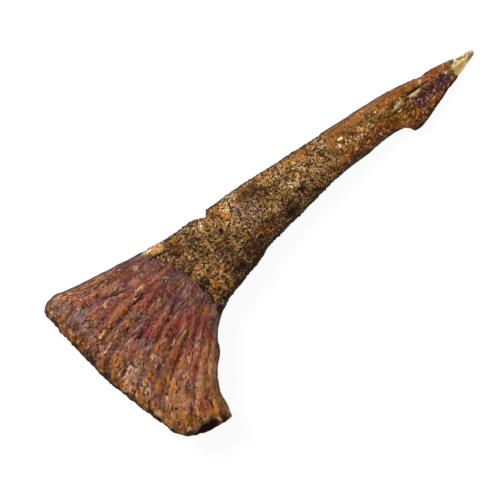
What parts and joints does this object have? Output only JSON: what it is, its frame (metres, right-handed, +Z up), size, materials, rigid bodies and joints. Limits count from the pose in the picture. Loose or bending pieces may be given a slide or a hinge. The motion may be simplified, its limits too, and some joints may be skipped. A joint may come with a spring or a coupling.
{
  "type": "fossil sawfish rostral tooth",
  "caption": "Fossil tooth from a sawfish's snout: a ribbed, fan-shaped root with a trough along its base, and a long flattened crown with a sandy crust that tapers to a barbed point.",
  "frame": {"origin": "bottom centre: the middle of the tooth's box in plan, on the surface that the tooth lies on", "axes": "+X runs along the tooth from the root's base to the point, +Y points to the front edge away from the barb, and +Z is up, out of the face that is seen"},
  "size_m": [0.064, 0.0272, 0.0078],
  "materials": {
    "fossil_tooth": "iron-stained fossil dentine and enamel: matt purple-brown root, gritty ochre crust, polished orange-brown crown and ivory point"
  },
  "bodies": {
    "root": {"rostral_tooth": "fossil_tooth"}
  },
  "joints": []
}
